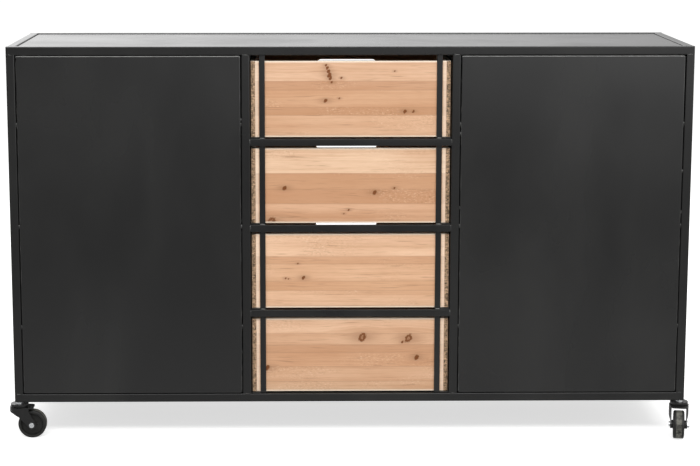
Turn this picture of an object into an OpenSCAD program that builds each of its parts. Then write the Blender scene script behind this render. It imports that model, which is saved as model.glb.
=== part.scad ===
// Steel sideboard on four swivel casters: two cupboards with a bay of four wooden drawers between them.
// X runs along the width, +Y is the front with the doors and drawer fronts, -Y is the back with its grid.
// The origin is on the floor, under the middle of the cabinet. All sizes are in millimetres.

/* [Cabinet] */
// Width of the steel frame
body_w = 1440; // [1200:10:1800]
// Depth of the steel frame
body_d = 380; // [320:5:480]
// Height of the steel frame, without the casters
body_h = 764; // [660:2:900]
// Clear width of the drawer bay between the inner uprights
bay_w = 424; // [340:2:520]

/* [Steel] */
// Side of the square tube
tube = 18; // [16:1:24]
// Wall of the square tube
tube_wall = 1.5; // [1:0.1:2]
// Radius of the tube's long edges
tube_edge = 2; // [1:0.25:3]
// Thickness of the folded panels
sheet = 1.5; // [1:0.1:2]
// Depth of a panel's folded edges
fold = 14; // [10:0.5:15]
// Corner radius of a folded panel
panel_corner = 4; // [3:0.5:8]
// Outer radius of a panel's bends
bend_r = 2; // [1.75:0.25:2.5]
// Gap round a panel in its bay
seam = 1.5; // [1:0.25:4]
// Thickness of the top and floor plates
plate = 2; // [1.5:0.25:3]
// How far the top plate lies below the top of the tubes
top_drop = 1.5; // [0.5:0.25:2.5]
// Gap between each end of the top plate and the tube
top_end_gap = 3; // [1:0.25:6]
// Radius of a tack weld in a seam
tack_r = 2; // [1:0.25:3]

/* [Grid and runners] */
// Height of a cross bar between two drawers
bar_h = 15; // [10:1:16]
// Thickness of a cross bar
bar_t = 6; // [4:0.5:8]
// Width of an upright stop bar behind the drawers
stop_w = 12; // [8:1:16]
// Thickness of a stop bar
stop_t = 3; // [2:0.5:5]
// Distance from the bay's side to the middle of a stop bar
stop_inset = 25.5; // [22:0.5:60]
// Thickness of a drawer runner
runner_t = 2.5; // [2:0.25:3]
// Depth of the leg that a runner is welded by
runner_leg = 12; // [8:1:14]

/* [Drawers] */
// Number of drawers
drawer_count = 4; // [3:1:5]
// Height from one drawer's top edge to the next drawer's bottom edge
drawer_gap = 23.5; // [22:0.5:32]
// Space over the top drawer
top_gap = 13; // [6:1:24]
// Gap on each side of a drawer
side_gap = 2; // [1:0.25:4]
// Thickness of a drawer's side boards
side_t = 9; // [8:0.5:14]
// Thickness of a drawer's back board
back_t = 12; // [9:0.5:16]
// Thickness of a drawer's front board
front_t = 15; // [12:0.5:18]
// Thickness of a drawer's bottom
bottom_t = 5; // [3:0.5:8]
// Height of a drawer's bottom over the edge of its boards
bottom_lift = 8; // [6:0.5:14]
// Depth of the groove that holds the bottom
groove = 4; // [2:0.5:5]
// Length of the hand hold in a drawer front
hold_w = 140; // [90:2:200]
// Height of the hand hold
hold_h = 26; // [20:1:34]
// Distance from a drawer's top edge to its hand hold
hold_drop = 29; // [20:1:50]

/* [Doors and shelves] */
// Radius of a hinge barrel
hinge_r = 5.5; // [4.5:0.25:7]
// Length of each half of a hinge
hinge_l = 22; // [16:1:32]
// Radius of a hinge pin
hinge_pin_r = 3; // [2:0.25:3.5]
// Distance from a door's end to the middle of its hinge
hinge_inset = 110; // [60:5:180]
// Length of a hinge's weld tab
tab_w = 15; // [9:0.5:17]
// Radius of a door handle's bar
handle_r = 5; // [4:0.5:7]
// Length of a door handle
handle_l = 160; // [100:5:240]
// Distance from a handle's bar to the door
handle_reach = 28; // [22:1:34]
// Distance from a door's free edge to its handle
handle_inset = 32; // [20:1:60]
// Height of the handles over the middle of the doors
handle_lift = 120; // [60:5:200]
// Height of a shelf over the cabinet's floor
shelf_lift = 350; // [250:5:420]
// Length of a shelf cleat
cleat_l = 24; // [16:1:40]
// Width of a shelf cleat
cleat_w = 20; // [12:1:30]

/* [Casters] */
// Diameter of a caster wheel
wheel_d = 60; // [50:1:80]
// Width of the tread
wheel_w = 23; // [18:1:26]
// Distance from the swivel axis to the wheel's axle
trail = 27; // [22:0.5:32]
// Thickness of the pressed fork
fork_t = 2.5; // [2:0.25:3.5]
// Radius of the fork's crown
crown_r = 21; // [20:0.5:25]
// How far the crown's round end reaches past the axle
crown_reach = 4; // [2:0.5:8]
// Gap between the wheel and the fork's crown
crown_gap = 5.5; // [3:0.5:8]
// Gap between the tread and each leg of the fork
leg_gap = 4; // [2:0.5:6]
// Radius of the stem
stem_r = 5; // [4:0.5:6]
// Height of the nut over the swivel head
nut_h = 3.5; // [3:0.5:8]
// Radius of the axle
axle_r = 4; // [3:0.5:5]
// Diameter of a ball in the swivel head
ball_d = 3.8; // [3:0.1:5]
// Turn of each caster about its stem: back left, back right, front right, front left
caster_turn = [0, -100, 180, 80];

/* [Hidden] */
$fn = 64;
fit = 0.05;            // radial gap of a running fit
run_gap = 0.3;         // gap under a drawer, and between parts that pass each other
cap_t = 2.5;           // swivel cap's thickness
tread_round = 3;       // shoulder radius of the tread
hub_r = 9;
boss_r = 9;            // radius of the fork round the axle
ball_count = 12;
bush_h = 20;
bar_over = 2;          // how far a runner lies on a cross bar
tack_places = [-0.3, 0, 0.3];

caster_h = wheel_d + crown_gap + fork_t + ball_d + run_gap + cap_t + nut_h;
z_low = caster_h;
z_top = caster_h + body_h;
z_mid = (z_low + z_top) / 2;
half_w = body_w / 2;
half_d = body_d / 2;
clear_h = body_h - 2 * tube;
clear_d = body_d - 2 * tube;
side_in = bay_w / 2 + tube;             // cupboard's inner side
side_out = half_w - tube;               // cupboard's outer side
side_mid = (side_in + side_out) / 2;
panel_w = side_out - side_in - 2 * seam;
panel_h = clear_h - 2 * seam;
floor_bearer = tube - plate;            // square tubes under the plates
top_bearer = tube - plate - top_drop;
top_z = z_top - top_drop;               // top plate's upper face

stop_x = bay_w / 2 - stop_inset;
runner_w = stop_inset - stop_w / 2 - run_gap;
drawer_w = bay_w - 2 * side_gap;
drawer_back = -half_d + bar_t + stop_t + run_gap;
drawer_l = half_d - drawer_back;
drawer_h = (clear_h - runner_t - run_gap - top_gap - (drawer_count - 1) * drawer_gap) / drawer_count;
inner_w = drawer_w - 2 * side_t;

hinge_x = side_out - seam / 2;
hinge_y = half_d + hinge_r + fit;
handle_x = side_in + seam + handle_inset;
handle_z = z_mid + handle_lift;
shelf_z = z_low + tube + shelf_lift;

crown_low = wheel_d + crown_gap;
crown_top = crown_low + fork_t;
cap_low = crown_top + ball_d + run_gap;
leg_in = wheel_w / 2 + leg_gap;
leg_out = leg_in + fork_t;
race_r = crown_r - 7.5;                 // circle that the balls run on
stem_at = tube / 2;                     // stem's distance from each face of the frame
CORNERS = [[-1, -1], [1, -1], [1, 1], [-1, 1]];
CASTERS = ["back_left", "back_right", "front_right", "front_left"];

// ---- Sections and helpers ----

module rounded_rect(w, h, r) {
    square([w - 2 * r, h], center = true);
    square([w, h - 2 * r], center = true);
    for (x = [-1, 1], y = [-1, 1])
        translate([x * (w / 2 - r), y * (h / 2 - r)])
            circle(r);
}

module tube_section(side = tube) {
    difference() {
        rounded_rect(side, side, tube_edge);
        square(side - 2 * tube_wall, center = true);
    }
}

// A rail along X whose ends are cut at 45 degrees, longest at its top
module mitred_tube(length) {
    intersection() {
        rotate([0, 90, 0])
            linear_extrude(length, center = true)
                tube_section();
        rotate([90, 0, 0])
            linear_extrude(2 * tube, center = true)
                polygon([[-length / 2, tube / 2], [length / 2, tube / 2],
                         [length / 2 - tube, -tube / 2], [tube - length / 2, -tube / 2]]);
    }
}

module depth_tube(side) {
    rotate([90, 0, 0])
        linear_extrude(clear_d, center = true)
            tube_section(side);
}

// Outline of a bent sheet seen from the side: its two lower corners are round
module bent_outline(w, height, bend) {
    translate([-w / 2, bend])
        square([w, height - bend]);
    translate([bend - w / 2, 0])
        square([w - 2 * bend, 2 * bend]);
    for (side = [-1, 1])
        translate([side * (w / 2 - bend), bend])
            circle(bend);
}

module bent_block(w, h, height, corner, bend) {
    intersection() {
        linear_extrude(height)
            rounded_rect(w, h, corner);
        rotate([90, 0, 0])
            linear_extrude(h + 2, center = true)
                bent_outline(w, height, bend);
        rotate([90, 0, 90])
            linear_extrude(w + 2, center = true)
                bent_outline(h, height, bend);
    }
}

// A folded panel: its face lies on z = 0 and its edges turn up to z = fold
module folded_panel(w, h) {
    difference() {
        bent_block(w, h, fold, panel_corner, bend_r);
        translate([0, 0, sheet])
            bent_block(w - 2 * sheet, h - 2 * sheet, fold, panel_corner - sheet, bend_r - sheet);
    }
}

// A folded panel tacked into its bay along its two long edges, which are parallel to Y
module tacked_panel(w, h) {
    folded_panel(w, h);
    for (side = [-1, 1], place = tack_places)
        translate([side * (w + seam) / 2, place * h, max(tube_edge, bend_r) + tack_r])
            rotate([0, 90, 0])
                cylinder(r = tack_r, h = seam, center = true);
}

module at_corners() {
    for (c = CORNERS)
        translate([c.x * (half_w - stem_at), c.y * (half_d - stem_at), 0])
            children();
}

module both_sides() {
    children();
    mirror([1, 0, 0])
        children();
}

// ---- Welded frame ----

// The top and bottom rail of one face of the frame, standing on y = 0
module face_rails() {
    translate([0, 0, z_top - tube / 2])
        mitred_tube(body_w);
    difference() {
        translate([0, 0, z_low + tube / 2])
            rotate([180, 0, 0])
                mitred_tube(body_w);
        both_sides()
            translate([half_w - stem_at, 0, z_low - tube])
                cylinder(r = stem_r + fit, h = 2 * tube);
    }
}

// The mitred outer uprights and the straight inner uprights of one face
module face_uprights() {
    both_sides() {
        translate([half_w - tube / 2, 0, z_mid])
            rotate([0, 90, 0])
                mitred_tube(body_h);
        translate([side_in - tube / 2, 0, z_low + tube])
            linear_extrude(clear_h)
                tube_section();
    }
}

module at_face(side) {
    color("#303030")
        translate([0, side * (half_d - tube / 2), 0])
            children();
}

module depth_rails() {
    color("#303030")
        both_sides() {
            for (z = [z_low + tube / 2, z_top - tube / 2])
                translate([half_w - tube / 2, 0, z])
                    depth_tube(tube);
            translate([side_in - tube / 2, 0, z_low + floor_bearer / 2])
                depth_tube(floor_bearer);
            translate([side_in - tube / 2, 0, z_top - tube + top_bearer / 2])
                depth_tube(top_bearer);
        }
}

// Height of the bottom edge of drawer i, counted from the top
function drawer_z(i) = z_low + tube + runner_t + run_gap + (drawer_count - i) * (drawer_h + drawer_gap);
function runner_top(i) = drawer_z(i) - run_gap;

// Cross bars under all drawers but the lowest, flush with both faces of the frame
module crossbars() {
    color("#303030")
        for (i = [1:drawer_count - 1], y = [-half_d, half_d - bar_t])
            translate([-bay_w / 2, y, runner_top(i) - runner_t - bar_h])
                cube([bay_w, bar_t, bar_h]);
}

// Upright bars behind the drawers, which stop them when they are pushed in
module stop_bars() {
    color("#303030")
        both_sides()
            translate([stop_x - stop_w / 2, -half_d + bar_t, z_low + tube])
                cube([stop_w, stop_t, clear_h]);
}

// Runners: angles welded to the partitions, their ends lying on the cross bars
module drawer_runners() {
    flat_l = body_d - 2 * (bar_t - bar_over);
    leg_l = clear_d;
    color("#303030")
        both_sides()
            for (i = [1:drawer_count]) {
                translate([bay_w / 2 - runner_w, -flat_l / 2, runner_top(i) - runner_t])
                    cube([runner_w, flat_l, runner_t]);
                if (i < drawer_count)
                    translate([bay_w / 2 - runner_t, -leg_l / 2, runner_top(i) - runner_t - runner_leg])
                        cube([runner_t, leg_l, runner_leg + runner_t / 2]);
            }
}

// ---- Sheet metal ----

module top_plate() {
    color("#343434")
        translate([0, 0, top_z - plate / 2])
            cube([2 * (side_out - top_end_gap), clear_d, plate], center = true);
}

module floor_plate() {
    color("#303030")
        translate([0, 0, z_low + tube - plate / 2])
            cube([2 * side_out, clear_d, plate], center = true);
}

module end_panels() {
    color("#303030")
        both_sides()
            translate([half_w, 0, z_mid])
                rotate([0, -90, 0])
                    rotate([0, 0, 90])
                        tacked_panel(clear_d - 2 * seam, panel_h);
}

module back_panels() {
    color("#303030")
        both_sides()
            translate([side_mid, -half_d, z_mid])
                rotate([-90, 0, 0])
                    tacked_panel(panel_w, panel_h);
}

module partitions() {
    color("#303030")
        both_sides()
            translate([bay_w / 2, 0, z_mid])
                rotate([0, 90, 0])
                    folded_panel(clear_h, clear_d);
}

module shelves() {
    color("#303030")
        both_sides()
            translate([side_mid, 0, shelf_z + fold])
                rotate([180, 0, 0])
                    folded_panel(panel_w, clear_d - 2 * seam);
}

// Angle cleats on the uprights, two at each end of a shelf
module shelf_cleats() {
    reach = clear_d / 2 + (tube - fold) - run_gap;
    color("#303030")
        both_sides()
            for (y = [-1, 1], out = [0, 1])
                translate([out ? side_out : side_in, y * (reach - cleat_l / 2), shelf_z])
                    mirror([out, 0, 0]) {
                        translate([0, -cleat_l / 2, -plate])
                            cube([cleat_w, cleat_l, plate]);
                        translate([0, -cleat_l / 2, -cleat_w])
                            cube([plate, cleat_l, cleat_w - plate / 2]);
                    }
}

// ---- Doors ----

module door() {
    translate([side_mid, half_d, z_mid])
        rotate([90, 0, 0])
            folded_panel(panel_w, panel_h);
}

module left_door() {
    color("#303030")
        mirror([1, 0, 0])
            door();
}

module right_door() {
    color("#303030")
        door();
}

module at_hinges() {
    for (z = [z_mid - panel_h / 2 + hinge_inset, z_mid + panel_h / 2 - hinge_inset])
        translate([hinge_x, hinge_y, z])
            children();
}

module bullet(length) {
    rotate_extrude()
        polygon([[0, 0], [hinge_r, 0], [hinge_r, length - hinge_r / 2], [hinge_r / 2, length], [0, length]]);
}

// Lower half of a hinge with its pin, its tab lying on the upright
module hinge_pin_half() {
    mirror([0, 0, 1])
        bullet(hinge_l);
    cylinder(r = hinge_pin_r, h = hinge_l * 0.8);
    translate([0, half_d - hinge_y, -hinge_l * 0.85])
        cube([tab_w, hinge_r * 0.45, hinge_l * 0.75]);
}

// Upper half of a hinge, its tab lying on the door
module hinge_socket_half() {
    translate([0, 0, fit])
        difference() {
            union() {
                bullet(hinge_l);
                translate([-tab_w, half_d - hinge_y, hinge_l * 0.1])
                    cube([tab_w, hinge_r * 0.45, hinge_l * 0.75]);
            }
            translate([0, 0, -1])
                cylinder(r = hinge_pin_r + fit, h = hinge_l * 0.85 + 1);
        }
}

module left_door_hinges() {
    color("#303030")
        mirror([1, 0, 0])
            at_hinges()
                hinge_socket_half();
}

module right_door_hinges() {
    color("#303030")
        at_hinges()
            hinge_socket_half();
}

module hinge_pins() {
    color("#303030")
        both_sides()
            at_hinges()
                hinge_pin_half();
}

// A straight bar on two posts
module handle() {
    post_x = handle_l / 2 - 4 * handle_r;
    translate([handle_x, half_d, handle_z]) {
        translate([0, handle_reach, 0])
            cylinder(r = handle_r, h = handle_l, center = true);
        for (z = [-post_x, post_x])
            translate([0, 0, z])
                rotate([-90, 0, 0])
                    cylinder(r = handle_r * 0.8, h = handle_reach);
    }
}

module left_handle() {
    color("#303030")
        mirror([1, 0, 0])
            handle();
}

module right_handle() {
    color("#303030")
        handle();
}

// Magnetic catches on the inner uprights, just behind the doors
module door_catches() {
    catch_w = 16;
    catch_l = 46;
    catch_d = 18;
    color("#181818")
        both_sides()
            translate([side_in, half_d - fold - run_gap - catch_d, handle_z - catch_l / 2])
                difference() {
                    cube([catch_w, catch_d, catch_l]);
                    translate([catch_w / 4, catch_d - 3, catch_l / 4])
                        cube([catch_w / 2, 6, catch_l / 2]);
                }
}

// ---- Drawers ----

module board_groove(length) {
    translate([0, 0, bottom_lift + bottom_t / 2])
        cube([length, 2 * groove, bottom_t + 2 * fit], center = true);
}

module drawer_front(i) {
    hold_z = drawer_h - hold_drop - hold_h / 2;
    color("#d9ae8c")
        translate([0, half_d - front_t, drawer_z(i)])
            difference() {
                translate([-drawer_w / 2, 0, 0])
                    cube([drawer_w, front_t, drawer_h]);
                board_groove(inner_w + 2 * groove);
                for (side = [-1, 1])
                    translate([side * (hold_w - hold_h) / 2, -1, hold_z])
                        rotate([-90, 0, 0])
                            cylinder(d = hold_h, h = front_t + 2);
                translate([-(hold_w - hold_h) / 2, -1, hold_z - hold_h / 2])
                    cube([hold_w - hold_h, front_t + 2, hold_h]);
            }
}

module drawer_back(i) {
    color("#d9ae8c")
        translate([0, drawer_back, drawer_z(i)])
            difference() {
                translate([-inner_w / 2, 0, 0])
                    cube([inner_w, back_t, drawer_h]);
                translate([0, back_t, 0])
                    board_groove(inner_w + 2);
            }
}

module drawer_sides(i) {
    length = drawer_l - front_t;
    color("#d9ae8c")
        both_sides()
            translate([inner_w / 2, drawer_back, drawer_z(i)])
                difference() {
                    cube([side_t, length, drawer_h]);
                    translate([0, back_t - groove, bottom_lift - fit])
                        cube([groove, length, bottom_t + 2 * fit]);
                }
}

module drawer_bottom(i) {
    panel_y = drawer_back + back_t - groove + fit;
    color("#c9a27c")
        translate([-inner_w / 2 - groove + fit, panel_y, drawer_z(i) + bottom_lift])
            cube([inner_w + 2 * groove - 2 * fit, half_d - front_t + groove - fit - panel_y, bottom_t]);
}

// ---- Casters, each in its own place with its swivel axis on Z and its wheel trailing along +X ----

module at_caster(n) {
    translate([CORNERS[n].x * (half_w - stem_at), CORNERS[n].y * (half_d - stem_at), 0])
        rotate([0, 0, caster_turn[n]])
            children();
}

// Threaded bushes in the feet of the corner uprights
module stem_bushes() {
    side = tube - 2 * tube_wall - 4 * fit;
    color("#9a9c9e")
        at_corners()
            translate([0, 0, z_low + tube_wall])
                difference() {
                    translate([-side / 2, -side / 2, 0])
                        cube([side, side, bush_h]);
                    translate([0, 0, -1])
                        cylinder(r = stem_r + fit, h = bush_h + 2);
                }
}

// Stem with its riveted foot, the swivel cap over the balls, and the nut
module caster_stem() {
    cap_r = crown_r - 2;
    rivet_top = crown_low - run_gap;
    color("#b8babc") {
        translate([0, 0, rivet_top - cap_t])
            cylinder(r = stem_r + 4, h = cap_t);
        translate([0, 0, rivet_top - 1])
            cylinder(r = stem_r, h = caster_h + tube_wall + bush_h - rivet_top);
        difference() {
            translate([0, 0, crown_top + ball_d * 0.35])
                cylinder(r = cap_r, h = cap_low + cap_t - crown_top - ball_d * 0.35);
            translate([0, 0, crown_top - 1])
                cylinder(r = cap_r - cap_t, h = cap_low - crown_top + 1);
        }
        translate([0, 0, cap_low + cap_t / 2])
            cylinder(r = stem_r * 1.6, h = nut_h + cap_t / 2, $fn = 6);
    }
}

module caster_balls() {
    color("#c8cacc")
        for (k = [0:ball_count - 1])
            rotate([0, 0, k * 360 / ball_count])
                translate([race_r, 0, crown_top + ball_d / 2])
                    sphere(d = ball_d);
}

// Side outline of the fork: crown and skirt at the top, legs swept down to the axle
module fork_outline() {
    polygon([
        [-crown_r - 1, crown_top],
        [-crown_r - 1, crown_low - 7],
        [-crown_r * 0.6, crown_low - 10],
        [0, crown_low - 17],
        [trail - boss_r * 0.9, wheel_d / 2 - boss_r * 0.44],
        [trail + boss_r * 0.94, wheel_d / 2 + boss_r * 0.35],
        [trail - 6, crown_low - 6],
        [trail - 6, crown_low],
        [trail + crown_reach, crown_low],
        [trail + crown_reach, crown_top]]);
    translate([trail, wheel_d / 2])
        circle(boss_r);
}

module fork_plan(r, half) {
    circle(r);
    translate([0, -half])
        square([trail + 2 * boss_r, 2 * half]);
}

// What is cut away to round one corner of the crown's end
module crown_corner() {
    round_r = crown_reach + 5;
    translate([trail - 5, leg_out - round_r, crown_low - 1])
        difference() {
            cube([2 * round_r, 2 * round_r, fork_t + 2]);
            translate([0, 0, -1])
                cylinder(r = round_r, h = fork_t + 4);
        }
}

module caster_fork() {
    color("#262626")
        difference() {
            intersection() {
                rotate([90, 0, 0])
                    linear_extrude(4 * crown_r, center = true)
                        fork_outline();
                linear_extrude(crown_top + 1)
                    fork_plan(crown_r, leg_out);
            }
            translate([0, 0, -1])
                linear_extrude(crown_low + 1)
                    fork_plan(crown_r - fork_t, leg_in);
            cylinder(r = stem_r + fit, h = 2 * crown_top);
            for (side = [0, 1])
                mirror([0, side, 0])
                    crown_corner();
            translate([trail, 0, wheel_d / 2])
                rotate([90, 0, 0])
                    cylinder(r = axle_r + fit, h = 4 * crown_r, center = true);
        }
}

// Axle bolt: a round head on one side and a hexagon nut on the other
module caster_axle() {
    head_t = 3;
    nut_t = 4.5;
    color("#c2c4c6")
        translate([trail, 0, wheel_d / 2])
            rotate([90, 0, 0]) {
                translate([0, 0, -leg_out - nut_t - 1])
                    cylinder(r = axle_r, h = 2 * leg_out + nut_t + 2);
                translate([0, 0, leg_out])
                    cylinder(r = axle_r * 1.35, h = head_t);
                translate([0, 0, -leg_out - nut_t])
                    cylinder(r = axle_r * 1.65, h = nut_t, $fn = 6);
            }
}

// Moulded wheel: tread, dished sides and a hub that runs between the fork's legs
module caster_wheel() {
    r = wheel_d / 2;
    half = wheel_w / 2;
    hub_half = leg_in - run_gap;
    web = half * 0.55;
    dish_r = r * 0.74;
    shoulder = [for (a = [0:30:90]) [r - tread_round + tread_round * sin(a), half - tread_round + tread_round * cos(a)]];
    side = concat([[axle_r + fit, hub_half], [hub_r, hub_half], [hub_r, web], [dish_r, web], [dish_r + 1.5, half]],
                  shoulder);
    color("#202020")
        translate([trail, 0, r])
            rotate([90, 0, 0])
                rotate_extrude()
                    polygon(concat(side, [for (k = [len(side) - 1:-1:0]) [side[k].x, -side[k].y]]));
}

// ---- The assembly ----

at_face(-1) face_rails();  // back_rails
at_face(-1) face_uprights();  // back_uprights
at_face(1) face_rails();  // front_rails
at_face(1) face_uprights();  // front_uprights
depth_rails();
crossbars();
stop_bars();
drawer_runners();
top_plate();
floor_plate();
end_panels();
back_panels();
partitions();
shelves();
shelf_cleats();
left_door();
right_door();
left_door_hinges();
right_door_hinges();
hinge_pins();
left_handle();
right_handle();
door_catches();
stem_bushes();
for (i = [1:drawer_count]) {
    drawer_front(i);
    drawer_back(i);
    drawer_sides(i);
    drawer_bottom(i);
}
for (n = [0:3]) {
    at_caster(n) caster_stem();
    at_caster(n) caster_balls();
    at_caster(n) caster_fork();
    at_caster(n) caster_axle();
    at_caster(n) caster_wheel();
}
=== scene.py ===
"""Looks of a steel sideboard on four swivel casters, built round its packed model.

The file is laid out as an add-on: property groups hold the sizes and colours that a user would change,
each group of pieces has an operator, and a panel in the sidebar lists them. Run as a script, it builds
the stage and every piece. Lengths are in metres. X is the width, +Y the front, -Y the back with its grid.
"""

import math
from contextlib import contextmanager

import bmesh
import bpy
from mathutils import Matrix, Vector, noise


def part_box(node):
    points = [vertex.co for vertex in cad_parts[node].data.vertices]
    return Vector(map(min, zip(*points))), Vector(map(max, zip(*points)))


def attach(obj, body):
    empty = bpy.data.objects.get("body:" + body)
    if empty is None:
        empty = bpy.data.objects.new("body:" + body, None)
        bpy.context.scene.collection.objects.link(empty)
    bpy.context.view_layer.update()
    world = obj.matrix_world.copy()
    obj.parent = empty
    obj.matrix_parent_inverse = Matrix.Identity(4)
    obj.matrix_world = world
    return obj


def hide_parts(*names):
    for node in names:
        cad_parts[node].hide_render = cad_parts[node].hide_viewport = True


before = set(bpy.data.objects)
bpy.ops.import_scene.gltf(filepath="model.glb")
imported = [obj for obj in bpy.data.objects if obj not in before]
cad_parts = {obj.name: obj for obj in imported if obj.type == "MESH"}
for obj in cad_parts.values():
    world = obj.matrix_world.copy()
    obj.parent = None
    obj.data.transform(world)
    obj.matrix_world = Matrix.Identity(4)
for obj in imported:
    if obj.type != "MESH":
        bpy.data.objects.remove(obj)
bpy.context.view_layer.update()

bl_info = {
    "name": "Sideboard on casters",
    "version": (1, 0, 0),
    "blender": (4, 5, 0),
    "location": "3D View > Sidebar > Sideboard",
    "description": "Builds the visible pieces and the finishes of a steel sideboard with wooden drawers",
    "category": "Object",
}

CASTERS = ("back_left", "back_right", "front_right", "front_left")
DRAWERS = (1, 2, 3, 4)
DOORS = ((-1, "left_door"), (1, "right_door"))
HALF_TURN = math.pi
QUARTER = math.pi / 2
ALONG_X, ALONG_Y = (1, 0, 0), (0, 1, 0)


def tone(red, green, blue):
    """A display colour from 0 to 255 as the linear colour that shaders take."""
    shares = [value / 255 for value in (red, green, blue)]
    return [s / 12.92 if s < 0.04045 else ((s + 0.055) / 1.055) ** 2.4 for s in shares]


def opaque(colour):
    """A colour with its fourth value, as colour sockets take it."""
    return (*colour[:3], 1)


# ---- Sizes and colours ----


def length(name, description, default):
    return bpy.props.FloatProperty(
        name=name, description=description, default=default, min=0, unit="LENGTH", precision=4)


def share(name, description, default):
    return bpy.props.FloatProperty(
        name=name, description=description, default=default, min=0, max=1, subtype="FACTOR")


def colour(name, description, default):
    return bpy.props.FloatVectorProperty(
        name=name, description=description, default=default, size=3, min=0, max=1, subtype="COLOR")


def amount(name, description, default, unit):
    return bpy.props.FloatProperty(name=name, description=description, default=default, unit=unit)


class SteelLook(bpy.types.PropertyGroup):
    """Folded and welded steel under satin black paint."""

    sheet: length("Sheet", "Thickness of the folded panels", 0.0015)
    bend: length("Bend", "Outer radius of a folded edge", 0.002)
    corner: length("Corner", "Corner radius of a folded panel", 0.004)
    wave: length("Wave", "How far a panel's face swells and dips", 0.0008)
    eased: length("Eased edge", "Rounding of the edges of bars and fittings", 0.0007)
    bead: length("Weld bead", "Half width of a weld bead", 0.0019)
    paint: colour("Paint", "Black paint of the cabinet", tone(25, 25, 25))
    # Tone of the pale upright clouds and the specks of dust on the paint. The clouds are partly the paint's
    # mottle and partly painted reflection.
    worn: colour("Paint clouds and dust", "Pale clouds, partly painted reflection, and dust", tone(44, 44, 43))
    # Colour of the painted highlight on bends, edges and weld beads, laid where they look up.
    rubbed: colour("Edge highlight", "Paint on the bends and edges", tone(118, 118, 116))
    fork: colour("Fork paint", "Paint of the caster forks", tone(13, 13, 13))
    gloss: share("Gloss", "Roughness of the paint", 0.16)
    zinc: colour("Zinc", "Zinc plating of stems, axles and balls", tone(226, 228, 230))


class WoodLook(bpy.types.PropertyGroup):
    """Glued fir boards and the plywood bottoms."""

    eased: length("Eased edge", "Rounding of a board's edges", 0.0008)
    hold_edge: length("Hand hold edge", "Rounding of the hand hold's rim", 0.0035)
    fir: colour("Fir", "Middle tone of the fir", tone(226, 182, 148))
    latewood: colour("Late wood", "Darker lines of the grain", tone(186, 133, 94))
    knot: colour("Knot", "Heart of a knot", tone(112, 58, 8))
    end_grain: colour("End grain", "Sawn ends of the boards", tone(146, 121, 97))
    ply: colour("Plywood", "Face of the drawer bottoms", tone(214, 181, 143))


class CasterLook(bpy.types.PropertyGroup):
    """Moulded caster wheels."""

    rib: length("Rib", "Height of the moulded ribs on the wheel's side", 0.0007)
    rubber: colour("Rubber", "Moulded rubber of the wheels", tone(18, 18, 17))
    # Dust tone. Laid thick on the tread, it also stands for painted light.
    dust: colour("Dust", "Floor dust on the tread", tone(132, 131, 122))
    plastic: colour("Plastic", "Catch bodies", tone(28, 28, 29))


class StageLook(bpy.types.PropertyGroup):
    """Floor, lamps and camera."""

    floor: colour("Floor", "Pale floor", tone(232, 232, 231))
    ambient: share("Ambient", "Light from all round", 0.56)
    key: amount("Key lamp", "Power of the big soft lamp", 146, "POWER")
    fill: amount("Fill lamp", "Power of the fill lamp", 50, "POWER")
    lens: amount("Lens", "Focal length of the camera", 95.9, "CAMERA")


LOOKS = {
    "sideboard_steel": SteelLook,
    "sideboard_wood": WoodLook,
    "sideboard_casters": CasterLook,
    "sideboard_stage": StageLook,
}


def look(part):
    """The property group of one part: steel, wood, casters or stage."""
    return getattr(bpy.context.scene, "sideboard_" + part)


# ---- Places taken from the frame ----


def low(node):
    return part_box(node)[0]


def high(node):
    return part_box(node)[1]


def extent(node):
    """The width, depth and height of a node."""
    return high(node) - low(node)


def centre_of(node):
    return (low(node) + high(node)) / 2


TUBE = extent("back_rails").y
HALF_WIDTH = high("back_rails").x
HALF_DEPTH = high("front_rails").y
LOW = low("back_rails").z
TOP = high("back_rails").z
MIDDLE = (LOW + TOP) / 2
BAY = high("crossbars").x
FOLD = high("partitions").x - BAY
CUPBOARD = (low("right_door").x, high("right_door").x)
PANEL_LOW = low("right_door").z
PANEL_HIGH = high("right_door").z
SEAM = CUPBOARD[0] - BAY - TUBE


# ---- Modelling helpers ----


def activate(*pieces):
    """Selects these pieces alone. The first is the active one."""
    bpy.ops.object.select_all(action="DESELECT")
    for piece in pieces:
        piece.select_set(True)
    bpy.context.view_layer.objects.active = pieces[0]


@contextmanager
def editing(piece):
    """Edit mode on one piece alone."""
    activate(piece)
    bpy.ops.object.mode_set(mode="EDIT")
    yield
    bpy.ops.object.mode_set(mode="OBJECT")


def choose(piece, kind, test):
    """In edit mode, selects the verts, edges or faces that pass the test, and no others."""
    bpy.ops.mesh.select_mode(type={"verts": "VERT", "edges": "EDGE", "faces": "FACE"}[kind])
    bpy.ops.mesh.select_all(action="DESELECT")
    mesh = bmesh.from_edit_mesh(piece.data)
    for item in getattr(mesh, kind):
        if test(item):
            item.select_set(True)
    mesh.select_flush_mode()
    bmesh.update_edit_mesh(piece.data)


def round_edges(piece, width, segments, test=lambda edge: True):
    """In edit mode, rounds the edges that pass the test."""
    choose(piece, "edges", test)
    bpy.ops.mesh.bevel(offset=width, segments=segments, affect="EDGES")


def middle(item):
    """The middle of an edge or a face."""
    return sum((v.co for v in item.verts), Vector()) / len(item.verts)


def along(edge, axis):
    """True if the edge runs along that axis, 0 for X, 1 for Y and 2 for Z."""
    way = edge.verts[1].co - edge.verts[0].co
    return abs(way[axis]) > 0.999 * way.length


def settle(piece, matrix=None):
    """Puts a piece's place, turn and size into its mesh."""
    if matrix is not None:
        piece.matrix_world = matrix @ piece.matrix_world
    activate(piece)
    bpy.ops.object.transform_apply(location=True, rotation=True, scale=True)
    return piece


def block(name, corner, other):
    """A block between two corners, which later steps shape."""
    corner, other = Vector(corner), Vector(other)
    bpy.ops.object.select_all(action="DESELECT")
    bpy.ops.mesh.primitive_cube_add(size=1, location=(corner + other) / 2)
    piece = bpy.context.object
    piece.name = name
    piece.scale = [abs(side) for side in other - corner]
    return settle(piece)


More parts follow.
